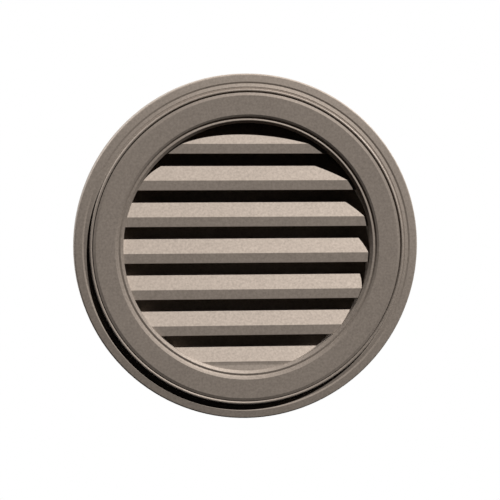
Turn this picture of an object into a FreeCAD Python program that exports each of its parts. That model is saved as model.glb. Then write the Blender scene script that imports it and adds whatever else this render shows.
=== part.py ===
"""Round louvred gable vent: a moulded base, a snap-fit trim ring and an insect screen.

Units are millimetres. Z is up and the vent faces -Y. The origin is the centre of the vent on the
plane of the wall, where the back of the nailing flange lies. Heights are measured from that plane
towards the viewer, so a height h lies at y = -h.
"""
import FreeCAD, Part
import math
import os

V = FreeCAD.Vector

# Radial widths of the mouldings, from the opening outwards (they add up to 279.4, a 22 inch vent)
opening_radius = 200.5
roll_inner_width = 4.4
roll_crest_width = 0.8
roll_outer_width = 2.8
inner_bevel_steep_width = 2.6
inner_bevel_width = 5.8
face_width = 30.6
outer_bevel_width = 4.4
rim_width = 4.6
quirk_width = 3.4
splay_width = 5.2
band_step_width = 2.8
band_width = 12.8

# Heights of the base above the wall plane
face_height = 44.0
valley_drop = 3.9
inner_bevel_drop = 1.4
roll_rise = 0.9
roll_fall = 3.5
outer_bevel_drop = 1.4
collar_depth = 18.0
collar_relief = 1.2
neck_draft = 1.0
wall = 2.8
flange_width = 22.0

# Heights of the trim ring, each as a step from the one before it
rim_drop = 0.8
quirk_depth = 6.9
fillet_rise = 0.4
splay_fall = 1.6
band_step = 1.0
band_fall = 1.8
trim_back = 1.0
trim_wall = 2.4

# Louvres, and the sill louvre that runs forward into the throat's lower edge
louvre_pitch = 58.8
lip_height = 16.2
lip_setback = 5.4
blade_angle = 60.0
blade_rise = 50.0
blade_thickness = 2.5
sill_rise = 14.5
sill_lip_height = 4.4
sill_bite = 0.9

# Snap fit between the skirt and the trim ring
tooth_count = 3
tooth_pitch = 5.0
tooth_height = 0.9
snap_clearance = 0.3
tooth_clearance = 0.4
first_tooth_height = 10.0
bead_length = 2.6

# Nailing holes, gussets, and the heat stakes that hold the screen
hole_count = 8
hole_radius = 2.5
gusset_count = 12
gusset_thickness = 2.0
gusset_setback = 3.0
land_width = 9.0
stake_count = 6
stake_radius = 1.6
stake_head_radius = 3.2
stake_head_height = 1.2

# Insect screen
strand_pitch = 36.0
strand_width = 6.0
strand_depth = 0.5
hem_inset = 1.0
hem_overlap = 4.0
stake_clearance = 0.2

# Edge rounds and chamfers
edge_round = 1.2
apron_round = 20.0
rim_chamfer = 1.6
band_round = 3.0

# Radii and heights that follow from the widths and steps
crest_inner = opening_radius + roll_inner_width
crest_outer = crest_inner + roll_crest_width
valley_radius = crest_outer + roll_outer_width
face_inner = valley_radius + inner_bevel_width
face_outer = face_inner + face_width
skirt_radius = face_outer + outer_bevel_width
flange_radius = skirt_radius + flange_width
tooth_tip = skirt_radius + tooth_height
rim_inner = tooth_tip + tooth_clearance
rim_outer = rim_inner + rim_width
quirk_outer = rim_outer + quirk_width
splay_outer = quirk_outer + splay_width
band_inner = splay_outer + band_step_width
trim_radius = band_inner + band_width
valley_height = face_height - valley_drop
crest_height = valley_height + roll_rise
throat_height = crest_height - roll_fall
lip_plane = valley_height - lip_setback
rim_height = face_height - rim_drop
quirk_height = rim_height - quirk_depth
splay_top = quirk_height + fillet_rise
splay_low = splay_top - splay_fall
band_high = splay_low + band_step
band_low = band_high - band_fall
hole_circle = skirt_radius + 0.5 * flange_width
collar_radius = opening_radius + wall - collar_relief
land_radius = opening_radius - land_width
stake_circle = opening_radius - 0.5 * land_width
screen_depth = 2.0 * strand_depth


def ring_point(r, h):
    """Place a section point of a turned shape at radius r and height h."""
    return V(r, -h, 0)


def side_point(h, z):
    """Place a section point of a louvre at height h and level z."""
    return V(0, -h, z)


def offset_path(path, distance):
    """Return the open path moved to its right-hand side by the distance, with mitred corners."""
    lines = []
    for (u0, v0), (u1, v1) in zip(path, path[1:]):
        length = math.hypot(u1 - u0, v1 - v0)
        du = (u1 - u0) / length
        dv = (v1 - v0) / length
        lines.append((u0 + dv * distance, v0 - du * distance, du, dv, length))
    moved = [lines[0][:2]]
    for (a0, b0, da, db, _), (a1, b1, dc, dd, _) in zip(lines, lines[1:]):
        cross = da * dd - db * dc
        t = ((a1 - a0) * dd - (b1 - b0) * dc) / cross
        moved.append((a0 + t * da, b0 + t * db))
    a, b, du, dv, length = lines[-1]
    moved.append((a + du * length, b + dv * length))
    return moved


def rounded_face(corners, place):
    """Make a face from corners (u, v) or (u, v, round), with an arc at each rounded corner."""
    edges = []
    ends = []
    count = len(corners)
    for i, corner in enumerate(corners):
        here = place(*corner[:2])
        radius = corner[2] if len(corner) > 2 else 0.0
        if radius == 0.0:
            ends.append((here, here))
            continue
        before = place(*corners[i - 1][:2]) - here
        after = place(*corners[(i + 1) % count][:2]) - here
        half = 0.5 * before.getAngle(after)
        reach = min(radius / math.tan(half), 0.45 * before.Length, 0.45 * after.Length)
        radius = reach * math.tan(half)
        before.normalize()
        after.normalize()
        bisector = before + after
        bisector.normalize()
        start = here + before * reach
        end = here + after * reach
        middle = here + bisector * (radius / math.sin(half) - radius)
        edges.append(Part.Arc(start, middle, end).toShape())
        ends.append((start, end))
    for i in range(count):
        leaving = ends[i][1]
        arriving = ends[(i + 1) % count][0]
        if leaving.distanceToPoint(arriving) > 1e-6:
            edges.append(Part.LineSegment(leaving, arriving).toShape())
    return Part.Face(Part.Wire(Part.__sortEdges__(edges)))


def outward(solid):
    """Return the solid with its faces pointing outwards, whichever way its section was drawn."""
    if solid.Volume < 0.0:
        solid.reverse()
    return solid


def turned(corners):
    """Turn a section in radius and height about the vent's axis."""
    return outward(rounded_face(corners, ring_point).revolve(V(0, 0, 0), V(0, 1, 0), 360))


def around(shape, count, first_angle=0.0):
    """Return evenly spaced copies of a shape about the vent's axis."""
    copies = []
    for i in range(count):
        copy = shape.copy()
        copy.rotate(V(0, 0, 0), V(0, 1, 0), first_angle + 360.0 * i / count)
        copies.append(copy)
    return copies


def front_path():
    """The base's visible surface from the rear land, up the throat and over the face to the flange."""
    land_height = wall - collar_depth
    return [
        (land_radius, land_height),
        (opening_radius, land_height),
        (opening_radius, valley_height),
        (valley_radius, valley_height),
        (valley_radius + inner_bevel_steep_width, face_height - inner_bevel_drop),
        (face_inner, face_height),
        (face_outer, face_height),
        (skirt_radius, face_height - outer_bevel_drop),
        (skirt_radius, wall),
        (flange_radius, wall),
    ]


def tooth_levels():
    """Heights of the square shoulders of the ratchet teeth, nearest the wall first."""
    return [first_tooth_height + tooth_pitch * i for i in range(tooth_count)]


def base_shell():
    """The turned moulding of even wall: land, throat, roll, face, skirt with teeth, and flange."""
    path = front_path()
    outside = path[:2]
    outside.append((opening_radius, throat_height))
    outside.append((crest_inner, crest_height))
    outside.append((crest_outer, crest_height))
    outside += path[3:8]
    outside.append((skirt_radius, first_tooth_height + tooth_count * tooth_pitch))
    for level in reversed(tooth_levels()):
        outside.append((tooth_tip, level))
        outside.append((skirt_radius, level))
    outside += path[8:]
    inside = offset_path(path, wall)
    neck = inside[1][0]
    shoulder = (inside[2][0] + neck_draft, inside[2][1])
    inside[1:3] = [(collar_radius, -collar_depth), (collar_radius, 0.0), (neck, 0.0), shoulder]
    return turned(outside + inside[::-1])


def louvre(lip_top, nose):
    """One louvre: a lip that ends in the nose points, and a blade that rises to the rear.

    The section is drawn across the whole opening and cut to the round throat.
    """
    run = blade_rise / math.tan(math.radians(blade_angle))
    top = (lip_plane, lip_top)
    back = (lip_plane - run, lip_top + blade_rise)
    under = offset_path([corner[:2] for corner in nose] + [top, back], -blade_thickness)
    corners = [nose[0] + (0.4 * blade_thickness,)] + nose[1:] + [top + (edge_round,), back] + under[::-1]
    span = 2.0 * (opening_radius + wall)
    bar = rounded_face(corners, side_point)
    bar.translate(V(-0.5 * span, 0, 0))
    depth = valley_height + collar_depth
    bite = Part.makeCylinder(opening_radius + 0.5 * wall, depth, V(0, -valley_height, 0), V(0, 1, 0))
    return outward(bar.extrude(V(span, 0, 0))).common(bite)


def louvre_levels():
    """Levels of the lip tops, from the sill upwards, for as many louvres as the opening takes."""
    lowest = sill_rise - opening_radius
    count = int((2.0 * opening_radius - sill_rise) / louvre_pitch) + 1
    return [lowest + louvre_pitch * i for i in range(count)]


def louvres():
    """The sill louvre, whose short lip turns forward into an apron, and the louvres above it."""
    levels = louvre_levels()
    apron = [(throat_height, -opening_radius - sill_bite)]
    apron.append((lip_plane, levels[0] - sill_lip_height, apron_round))
    bars = [louvre(levels[0], apron)]
    for level in levels[1:]:
        bars.append(louvre(level, [(lip_plane, level - lip_height)]))
    return bars


def gusset():
    """A radial web in the hollow behind the face, let into the walls on three sides."""
    # the web stops deep enough in the wall to stay behind the slope of the roll
    edge = offset_path(front_path(), 0.7 * wall)[1:9]
    edge[0] = (edge[0][0], gusset_setback)
    edge[-1] = (edge[-1][0], gusset_setback)
    web = rounded_face(edge, ring_point)
    web.translate(V(0, 0, -0.5 * gusset_thickness))
    return outward(web.extrude(V(0, 0, gusset_thickness)))


def heat_stake():
    """A post on the rear land with the flattened head that holds the screen."""
    foot = V(stake_circle, collar_depth - 0.5 * wall, 0)
    post = Part.makeCylinder(stake_radius, 0.5 * wall + screen_depth, foot, V(0, 1, 0))
    seat = V(stake_circle, collar_depth + screen_depth, 0)
    head = Part.makeCone(stake_head_radius, stake_radius, stake_head_height, seat, V(0, 1, 0))
    return post.fuse(head)


def vent_base():
    """The whole base moulding in one piece."""
    pieces = louvres()
    half_step = 180.0 / gusset_count
    pieces += around(gusset(), gusset_count, half_step)
    pieces += around(heat_stake(), stake_count, 180.0 / stake_count)
    body = base_shell().multiFuse(pieces)
    drill = Part.makeCylinder(hole_radius, 3.0 * wall, V(hole_circle, -2.0 * wall, 0), V(0, 1, 0))
    return body.cut(around(drill, hole_count)).removeSplitter()


def trim_ring():
    """The snap-fit ring: latch bead, leg, rim, quirk, splay and rounded outer band."""
    shoulder = first_tooth_height - snap_clearance
    leg_back = shoulder - bead_length
    bead_radius = skirt_radius + snap_clearance
    front = [
        (rim_inner, leg_back),
        (bead_radius, shoulder - 0.4 * bead_length),
        (bead_radius, shoulder),
        (rim_inner, shoulder),
        (rim_inner, rim_height - rim_chamfer),
        (rim_inner + rim_chamfer, rim_height),
        (rim_outer - rim_chamfer, rim_height),
        (rim_outer, rim_height - rim_chamfer),
        (rim_outer, quirk_height),
        (quirk_outer, quirk_height),
        (quirk_outer, splay_top),
        (splay_outer, splay_low),
        (band_inner, band_high),
        (trim_radius, band_low, band_round),
        (trim_radius, trim_back),
    ]
    skin = [(rim_inner, quirk_height), (quirk_outer, quirk_height)] + [corner[:2] for corner in front[-4:]]
    under = offset_path(skin, trim_wall)
    leg_outer = rim_inner + trim_wall
    hidden = [(leg_outer, leg_back), (leg_outer, under[0][1])] + under[1:]
    return turned(front + hidden[::-1])


def strand_levels():
    """Places of the strands across the screen, even on both sides of the middle."""
    reach = land_radius - 0.5 * strand_width
    count = int(reach / strand_pitch)
    return [strand_pitch * i for i in range(-count, count + 1)]


def insect_screen():
    """A disc of crossed strands inside a hem that lies on the rear land, pierced for the stakes."""
    back = V(0, 1, 0)
    seat = V(0, collar_depth, 0)
    hem_inner = land_radius - hem_overlap
    disc = Part.makeCylinder(hem_inner + 0.5 * hem_overlap, screen_depth, seat, back)
    hem = Part.makeCylinder(collar_radius - hem_inset, screen_depth, seat, back)
    hem = hem.cut(Part.makeCylinder(hem_inner, screen_depth, seat, back))
    half = 0.5 * strand_width
    strands = []
    for level in strand_levels():
        corner = V(level - half, collar_depth, -land_radius)
        strands.append(Part.makeBox(strand_width, 1.2 * strand_depth, 2.0 * land_radius, corner))
        corner = V(-land_radius, collar_depth + 0.8 * strand_depth, level - half)
        strands.append(Part.makeBox(2.0 * land_radius, 1.2 * strand_depth, strand_width, corner))
    weave = strands[0].multiFuse(strands[1:]).common(disc)
    hole = Part.makeCylinder(stake_radius + stake_clearance, 3.0 * screen_depth,
                             V(stake_circle, collar_depth - screen_depth, 0), back)
    screen = hem.fuse(weave).cut(around(hole, stake_count, 180.0 / stake_count))
    return screen.removeSplitter()


os.makedirs("parts", exist_ok=True)
vent_base().exportStep("parts/vent_base.step")
trim_ring().exportStep("parts/trim_ring.step")
insect_screen().exportStep("parts/insect_screen.step")
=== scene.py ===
"""Dress a round louvred gable vent: moulded vinyl base, snap-fit trim ring and woven insect screen.

Everything is in metres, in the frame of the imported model: Z is up, the vent faces -Y and the wall is
the plane y = 0.
"""
import logging
import math
from dataclasses import dataclass, field
from enum import Enum
from typing import Any

import bmesh
import bpy
from mathutils import Matrix, Quaternion, Vector

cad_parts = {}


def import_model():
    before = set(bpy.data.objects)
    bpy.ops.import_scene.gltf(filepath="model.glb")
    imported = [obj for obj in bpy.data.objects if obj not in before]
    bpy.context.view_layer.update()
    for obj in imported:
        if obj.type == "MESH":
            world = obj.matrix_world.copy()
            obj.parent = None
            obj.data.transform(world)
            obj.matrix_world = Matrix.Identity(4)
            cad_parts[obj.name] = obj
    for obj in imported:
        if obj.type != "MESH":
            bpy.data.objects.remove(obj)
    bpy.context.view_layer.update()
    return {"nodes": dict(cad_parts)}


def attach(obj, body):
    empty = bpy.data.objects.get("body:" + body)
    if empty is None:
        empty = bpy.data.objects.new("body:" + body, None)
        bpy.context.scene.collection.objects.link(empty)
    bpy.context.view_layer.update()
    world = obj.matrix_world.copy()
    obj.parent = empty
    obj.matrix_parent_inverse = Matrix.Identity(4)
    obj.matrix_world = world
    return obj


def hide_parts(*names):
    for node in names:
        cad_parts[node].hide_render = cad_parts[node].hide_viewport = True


LOG = logging.getLogger("gable_vent")
BODY = "root"
MM = 0.001

# The middle part of a noise's values, which holds nearly all of them
FINE_NOISE = (0.25, 0.75)
BROAD_NOISE = (0.3, 0.7)

Tone = tuple[float, float, float]


class Node(Enum):
    """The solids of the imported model."""

    BASE = "vent_base"
    TRIM = "trim_ring"
    SCREEN = "insect_screen"


class NodeSheet:
    """A shader's node tree, with short calls to add, set and join its nodes."""

    # A colour mix's own sockets go by number, because the other kinds of mix share their names
    mix_first = 6
    mix_second = 7
    mix_result = 2

    def __init__(self, tree: bpy.types.NodeTree) -> None:
        """Start from an empty tree.

        Args:
            tree: The material's or world's node tree.
        """
        self.tree = tree
        tree.nodes.clear()

    def add(self, kind: str, settings: dict[str, Any] | None = None, **inputs: Any) -> bpy.types.Node:
        """Add one node, set its options and fill or link its inputs.

        Args:
            kind: The node's type name.
            settings: Options of the node itself, by attribute name.
            **inputs: Values or output sockets, by input name with underscores for spaces.

        Returns:
            The new node.
        """
        node = self.tree.nodes.new(kind)
        for name, value in (settings or {}).items():
            setattr(node, name, value)
        for name, value in inputs.items():
            self.put(node, name.replace("_", " "), value)
        return node

    def put(self, node: bpy.types.Node, name: str | int, value: Any) -> None:
        """Fill one input with a value, or link it to an output socket.

        Args:
            node: The node that has the input.
            name: The input's name or number.
            value: A plain value or the output socket to link.
        """
        if isinstance(value, bpy.types.NodeSocket):
            self.tree.links.new(value, node.inputs[name])
        else:
            node.inputs[name].default_value = value

    def math(self, operation: str, first: Any, second: Any) -> bpy.types.NodeSocket:
        """Add a sum on two values.

        Args:
            operation: The name of the sum, such as MULTIPLY.
            first: The first value or socket.
            second: The second value or socket.

        Returns:
            The result's socket.
        """
        node = self.add("ShaderNodeMath", {"operation": operation})
        self.put(node, 0, first)
        self.put(node, 1, second)
        return node.outputs[0]

    def span(self, value: bpy.types.NodeSocket, low: float, high: float,
             start: float, end: float) -> bpy.types.NodeSocket:
        """Spread a value from one range to another, and stop it at the new ends.

        Args:
            value: The socket to spread.
            low: The value that becomes start.
            high: The value that becomes end.
            start: The new low end.
            end: The new high end.

        Returns:
            The spread value's socket.
        """
        node = self.add("ShaderNodeMapRange", {"clamp": True}, Value=value,
                        From_Min=low, From_Max=high, To_Min=start, To_Max=end)
        return node.outputs["Result"]

    def blend(self, share: bpy.types.NodeSocket, first: Tone, second: Tone) -> bpy.types.NodeSocket:
        """Mix two colours.

        Args:
            share: The second colour's share, from 0 to 1.
            first: The colour at 0.
            second: The colour at 1.

        Returns:
            The mixed colour's socket.
        """
        node = self.add("ShaderNodeMix", {"data_type": "RGBA"}, Factor=share)
        self.put(node, self.mix_first, opaque(first))
        self.put(node, self.mix_second, opaque(second))
        return node.outputs[self.mix_result]

    def noise(self, place: bpy.types.NodeSocket, scale: float, detail: float,
              roughness: float = 0.5) -> bpy.types.NodeSocket:
        """Add a cloudy noise.

        Args:
            place: The coordinates that it follows.
            scale: How many of its spots go to the metre.
            detail: How many finer layers lie on it.
            roughness: How strong the finer layers are.

        Returns:
            The noise's value.
        """
        node = self.add("ShaderNodeTexNoise", Vector=place, Scale=scale, Detail=detail,
                        Roughness=roughness)
        return node.outputs["Fac"]


def opaque(tone: Tone) -> tuple[float, float, float, float]:
    """Return the tone with full alpha."""
    return tone + (1.0,)


def shade(tone: Tone, factor: float) -> Tone:
    """Return the tone made lighter or darker."""
    return tuple(min(1.0, factor * channel) for channel in tone)


def blank_material(name: str) -> tuple[bpy.types.Material, NodeSheet]:
    """Make a material with an empty node tree.

    Args:
        name: The material's name.

    Returns:
        The material and the sheet of its nodes.
    """
    made = bpy.data.materials.new(name)
    made.use_nodes = True
    return made, NodeSheet(made.node_tree)


def add_object(name: str, data: bpy.types.ID) -> bpy.types.Object:
    """Make an object at the origin and put it in the scene.

    Args:
        name: The object's name.
        data: Its mesh, light or camera.

    Returns:
        The new object.
    """
    made = bpy.data.objects.new(name, data)
    bpy.context.scene.collection.objects.link(made)
    return made


def mesh_object(name: str, work: bmesh.types.BMesh, finish: bpy.types.Material) -> bpy.types.Object:
    """Turn a finished bmesh into an object of one material, and free the bmesh.

    Args:
        name: The name of the mesh and the object.
        work: The finished bmesh.
        finish: The material.

    Returns:
        The new object.
    """
    mesh = bpy.data.meshes.new(name)
    work.to_mesh(mesh)
    work.free()
    mesh.materials.append(finish)
    return add_object(name, mesh)


@dataclass(frozen=True)
class MouldedVinyl:
    """Through-coloured vinyl with the fine stipple of an etched mould."""

    name: str
    tone: Tone
    sheen_tone: Tone = (1.0, 0.84, 0.71)
    roughness: float = 0.57
    roughness_spread: float = 0.03
    specular: float = 0.9
    refraction: float = 1.6
    grain_size: float = 3.6 * MM
    grain_mottle: float = 0.22
    cloud_scale: float = 11.0
    cloud_mottle: float = 0.03
    mottle_limit: float = 0.3
    stipple_size: float = 1.3 * MM
    stipple_depth: float = 0.018 * MM

    def colour(self, sheet: NodeSheet, grain: bpy.types.NodeSocket,
               cloud: bpy.types.NodeSocket) -> bpy.types.NodeSocket:
        """Mottle the tone by a fine grain and a broad cloud.

        Args:
            sheet: The material's nodes.
            grain: The fine noise.
            cloud: The broad noise.

        Returns:
            The colour's socket.
        """
        fine = sheet.span(grain, *FINE_NOISE, -self.grain_mottle, self.grain_mottle)
        broad = sheet.span(cloud, *BROAD_NOISE, -self.cloud_mottle, self.cloud_mottle)
        both = sheet.math("ADD", fine, broad)
        level = sheet.span(both, -self.mottle_limit, self.mottle_limit, 0.0, 1.0)
        darkest = shade(self.tone, 1.0 - self.mottle_limit)
        lightest = shade(self.tone, 1.0 + self.mottle_limit)
        return sheet.blend(level, darkest, lightest)

    def material(self) -> bpy.types.Material:
        """Make the material.

        Returns:
            A material with mottled colour, uneven gloss and a stippled surface.
        """
        made, sheet = blank_material(self.name)
        place = sheet.add("ShaderNodeTexCoord").outputs["Object"]
        grain = sheet.noise(place, 1.0 / self.grain_size, detail=2.0, roughness=0.6)
        cloud = sheet.noise(place, self.cloud_scale, detail=3.0, roughness=0.55)
        gloss = sheet.span(grain, *FINE_NOISE, self.roughness + self.roughness_spread,
                           self.roughness - self.roughness_spread)
        pits = sheet.noise(place, 1.0 / self.stipple_size, detail=1.0)
        relief = sheet.add("ShaderNodeBump", Strength=1.0, Distance=self.stipple_depth, Height=pits)
        shader = sheet.add("ShaderNodeBsdfPrincipled", Base_Color=self.colour(sheet, grain, cloud),
                           Roughness=gloss, Normal=relief.outputs["Normal"], IOR=self.refraction,
                           Specular_IOR_Level=self.specular, Specular_Tint=opaque(self.sheen_tone))
        sheet.add("ShaderNodeOutputMaterial", Surface=shader.outputs["BSDF"])
        return made


@dataclass(frozen=True)
class CoatedYarn:
    """Glass yarn in a dark vinyl coat, as woven into insect screen."""

    name: str
    tone: Tone
    roughness: float = 0.55
    roughness_spread: float = 0.1
    wear_scale: float = 160.0
    darkest: float = 0.7
    lightest: float = 1.4
    twist_scale: float = 2500.0
    twist_depth: float = 0.05 * MM
    twist_strength: float = 0.5

    def material(self) -> bpy.types.Material:
        """Make the material.

        Returns:
            A dark material with slightly uneven colour and gloss along the yarns.
        """
        made, sheet = blank_material(self.name)
        place = sheet.add("ShaderNodeTexCoord").outputs["Object"]
        wear = sheet.noise(place, self.wear_scale, detail=3.0)
        colour = sheet.blend(sheet.span(wear, *BROAD_NOISE, 0.0, 1.0),
                             shade(self.tone, self.darkest), shade(self.tone, self.lightest))
        gloss = sheet.span(wear, *BROAD_NOISE, self.roughness + self.roughness_spread,
                           self.roughness - self.roughness_spread)
        twist = sheet.noise(place, self.twist_scale, detail=1.0)
        relief = sheet.add("ShaderNodeBump", Strength=self.twist_strength, Distance=self.twist_depth,
                           Height=twist)
        shader = sheet.add("ShaderNodeBsdfPrincipled", Base_Color=colour, Roughness=gloss,
                           Normal=relief.outputs["Normal"])
        sheet.add("ShaderNodeOutputMaterial", Surface=shader.outputs["BSDF"])
        return made


@dataclass
class Moulding:
    """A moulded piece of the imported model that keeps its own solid."""

    node: Node
    finish: MouldedVinyl

    def dress(self, nodes: dict[str, bpy.types.Object]) -> bpy.types.Object:
        """Give the solid its finish.

        Args:
            nodes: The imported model's objects by name.

        Returns:
            The dressed object.
        """
        piece = nodes[self.node.value]
        finish = self.finish.material()
        for slot in piece.material_slots:
            slot.material = finish
        return piece


@dataclass
class InsectScreen:
    """A disc of crossed yarns on a welded hem, held by the stakes on the rear land of the base."""

    finish: CoatedYarn
    seat: float = 18.0 * MM
    depth: float = 1.0 * MM
    hem_inner: float = 187.5 * MM
    hem_outer: float = 201.1 * MM
    hem_sides: int = 192
    stake_circle: float = 196.0 * MM
    stake_hole: float = 1.8 * MM
    stake_hole_sides: int = 16
    stake_count: int = 6
    stake_start: float = 30.0
    pitch: float = 1.55 * MM
    yarn: float = 0.3 * MM
    yarn_bite: float = 2.0 * MM
    layer_offset: float = 0.135 * MM

    def circle(self, work: bmesh.types.BMesh, radius: float, sides: int,
               centre: Vector) -> list[bmesh.types.BMEdge]:
        """Add a circle that lies in a plane parallel to the wall.

        Args:
            work: The mesh to add to.
            radius: The circle's radius.
            sides: The number of its sides.
            centre: Its middle.

        Returns:
            The circle's edges.
        """
        place = Matrix.Translation(centre) @ Matrix.Rotation(math.radians(90.0), 4, "X")
        made = bmesh.ops.create_circle(work, cap_ends=False, radius=radius, segments=sides, matrix=place)
        return list({edge for vert in made["verts"] for edge in vert.link_edges})

    def hem(self, work: bmesh.types.BMesh) -> None:
        """Add the flat hem with its stake holes.

        Args:
            work: The mesh to add to.
        """
        middle = Vector((0.0, self.seat, 0.0))
        edges = self.circle(work, self.hem_outer, self.hem_sides, middle)
        edges += self.circle(work, self.hem_inner, self.hem_sides, middle)
        for i in range(self.stake_count):
            turn = math.radians(self.stake_start + 360.0 * i / self.stake_count)
            spot = Vector((math.cos(turn), 0.0, math.sin(turn))) * self.stake_circle
            edges += self.circle(work, self.stake_hole, self.stake_hole_sides, middle + spot)
        made = bmesh.ops.triangle_fill(work, use_beauty=True, use_dissolve=False, edges=edges)
        faces = [item for item in made["geom"] if isinstance(item, bmesh.types.BMFace)]
        raised = bmesh.ops.extrude_face_region(work, geom=faces, use_keep_orig=True)
        verts = [item for item in raised["geom"] if isinstance(item, bmesh.types.BMVert)]
        bmesh.ops.translate(work, vec=Vector((0.0, self.depth, 0.0)), verts=verts)

    def yarns(self, work: bmesh.types.BMesh) -> None:
        """Add the yarns, one layer upright and one across, each as long as the hem lets it be.

        Args:
            work: The mesh to add to.
        """
        reach = self.hem_inner + self.yarn_bite
        count = int((self.hem_inner - self.pitch) / self.pitch)
        middle = self.seat + 0.5 * self.depth
        for i in range(-count, count + 1):
            level = i * self.pitch
            length = 2.0 * math.sqrt(reach ** 2 - level ** 2)
            for offset, turn in ((-self.layer_offset, 0.0), (self.layer_offset, 90.0)):
                place = (Matrix.Translation((0.0, middle + offset, 0.0))
                         @ Matrix.Rotation(math.radians(turn), 4, "Y")
                         @ Matrix.Translation((level, 0.0, 0.0))
                         @ Matrix.Diagonal((self.yarn, self.yarn, length, 1.0)))
                bmesh.ops.create_cube(work, size=1.0, matrix=place)

    def build(self) -> bpy.types.Object:
        """Make the screen and let it stand for the solid.

        Returns:
            The finished object.
        """
        work = bmesh.new()
        self.hem(work)
        bmesh.ops.recalc_face_normals(work, faces=work.faces[:])
        self.yarns(work)
        piece = mesh_object("woven_screen", work, self.finish.material())
        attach(piece, BODY)
        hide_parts(Node.SCREEN.value)
        return piece


@dataclass(frozen=True)
class SunLamp:
    """A distant lamp, given by the direction towards it and its width in degrees."""

    name: str
    towards: tuple[float, float, float]
    strength: float
    width: float

    def build(self) -> None:
        """Make the lamp and turn it towards the vent."""
        light = bpy.data.lights.new(self.name, "SUN")
        light.energy = self.strength
        light.angle = math.radians(self.width)
        lamp = add_object(self.name, light)
        lamp.rotation_euler = Vector(self.towards).to_track_quat("Z", "Y").to_euler()


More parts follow.
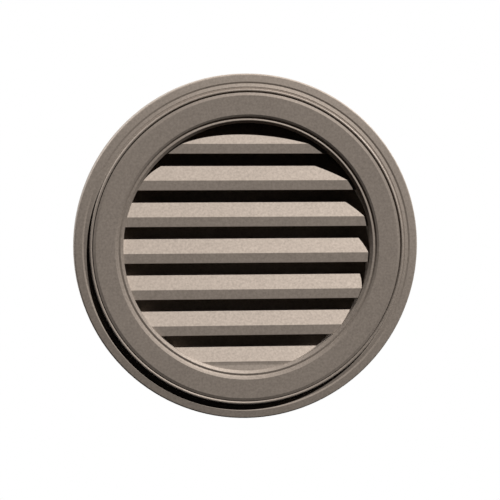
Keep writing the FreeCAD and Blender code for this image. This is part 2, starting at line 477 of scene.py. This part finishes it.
@dataclass
class Studio:
    """The pale floor, the white surround and the lamps.

    The fill lamps shine along the slope of the louvres from behind, so that they light the back and the
    sides but not the gaps.
    """

    floor_level: float = -2.2
    floor_side: float = 8.0
    floor_tone: float = 0.8
    floor_roughness: float = 0.8
    ambient: float = 0.005
    lamps: list[SunLamp] = field(default_factory=lambda: [
        SunLamp("key", (0.390, -0.488, 0.781), 4.8, 1.2),
        SunLamp("left_fill", (-0.8, 0.30, 0.52), 2.4, 1.0),
        SunLamp("right_fill", (0.8, 0.30, 0.52), 2.2, 1.0),
        SunLamp("rear_fill", (0.12, 0.5, 0.86), 0.8, 1.0),
    ])

    def floor(self) -> None:
        """Lay the floor well below the part, with no bounce from it that would fill the shadows."""
        work = bmesh.new()
        place = Matrix.Translation((0.0, 0.0, self.floor_level))
        bmesh.ops.create_grid(work, x_segments=1, y_segments=1, size=0.5 * self.floor_side, matrix=place)
        finish, sheet = blank_material("floor_pale")
        shader = sheet.add("ShaderNodeBsdfPrincipled", Roughness=self.floor_roughness,
                           Base_Color=opaque((self.floor_tone,) * 3))
        sheet.add("ShaderNodeOutputMaterial", Surface=shader.outputs["BSDF"])
        piece = mesh_object("floor", work, finish)
        piece.visible_diffuse = False
        piece.visible_glossy = False

    def surround(self) -> None:
        """Make the world white where it is seen, and where it is mirrored behind the vent.

        As a light it is dim, and so is what is mirrored only after a soft bounce, so that the white adds
        no light in the gaps.
        """
        world = bpy.data.worlds.new("surround")
        bpy.context.scene.world = world
        world.use_nodes = True
        sheet = NodeSheet(world.node_tree)
        path = sheet.add("ShaderNodeLightPath").outputs
        way = sheet.add("ShaderNodeTexCoord").outputs["Generated"]
        depth = sheet.add("ShaderNodeSeparateXYZ", Vector=way).outputs["Y"]
        behind = sheet.math("GREATER_THAN", depth, 0.0)
        no_bounce = sheet.math("LESS_THAN", path["Diffuse Depth"], 0.5)
        open_way = sheet.math("MULTIPLY", behind, no_bounce)
        mirrored = sheet.math("MULTIPLY", path["Is Glossy Ray"], open_way)
        seen = sheet.math("MAXIMUM", path["Is Camera Ray"], path["Is Transmission Ray"])
        white = opaque((1.0, 1.0, 1.0))
        bright = sheet.add("ShaderNodeBackground", Color=white, Strength=1.0)
        dim = sheet.add("ShaderNodeBackground", Color=white, Strength=self.ambient)
        mix = sheet.add("ShaderNodeMixShader", Fac=sheet.math("MAXIMUM", seen, mirrored))
        sheet.put(mix, 1, dim.outputs["Background"])
        sheet.put(mix, 2, bright.outputs["Background"])
        sheet.add("ShaderNodeOutputWorld", Surface=mix.outputs["Shader"])

    def build(self) -> None:
        """Set up the floor, the surround and the lamps."""
        self.floor()
        self.surround()
        for lamp in self.lamps:
            lamp.build()
        bpy.context.scene.view_settings.view_transform = "Standard"


@dataclass(frozen=True)
class Viewpoint:
    """The camera, placed by its direction from the middle of the vent; angles are in degrees."""

    azimuth: float = -7.2
    elevation: float = 5.0
    roll: float = 0.22
    distance: float = 3.2
    lens: float = 141.85
    sensor: float = 36.0
    target: tuple[float, float, float] = (0.0, -0.015, 0.0)
    shift: tuple[float, float] = (0.0081, -0.0077)

    def build(self) -> None:
        """Make the camera and let the scene use it."""
        turn = math.radians(self.azimuth)
        rise = math.radians(self.elevation)
        back = Vector((math.sin(turn) * math.cos(rise), -math.cos(turn) * math.cos(rise), math.sin(rise)))
        data = bpy.data.cameras.new("camera")
        data.lens = self.lens
        data.sensor_width = self.sensor
        data.shift_x, data.shift_y = self.shift
        camera = add_object("camera", data)
        camera.location = Vector(self.target) + self.distance * back
        lean = Quaternion((0.0, 0.0, 1.0), math.radians(self.roll))
        camera.rotation_euler = (back.to_track_quat("Z", "Y") @ lean).to_euler()
        bpy.context.scene.camera = camera


def main() -> None:
    """Load the frame, dress its pieces, and set up the studio and the camera."""
    logging.basicConfig(level=logging.INFO, format="%(name)s: %(message)s")
    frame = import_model()
    clay_vinyl = MouldedVinyl("clay_vinyl", (0.236, 0.197, 0.166))
    trim_vinyl = MouldedVinyl("trim_vinyl", (0.258, 0.216, 0.182))
    charcoal_yarn = CoatedYarn("charcoal_yarn", (0.018, 0.018, 0.019))
    pieces = [
        Moulding(Node.BASE, clay_vinyl).dress(frame["nodes"]),
        Moulding(Node.TRIM, trim_vinyl).dress(frame["nodes"]),
        InsectScreen(charcoal_yarn).build(),
    ]
    for piece in pieces:
        LOG.info("%s: %d faces", piece.name, len(piece.data.polygons))
    Studio().build()
    Viewpoint().build()


if __name__ == "__main__":
    main()
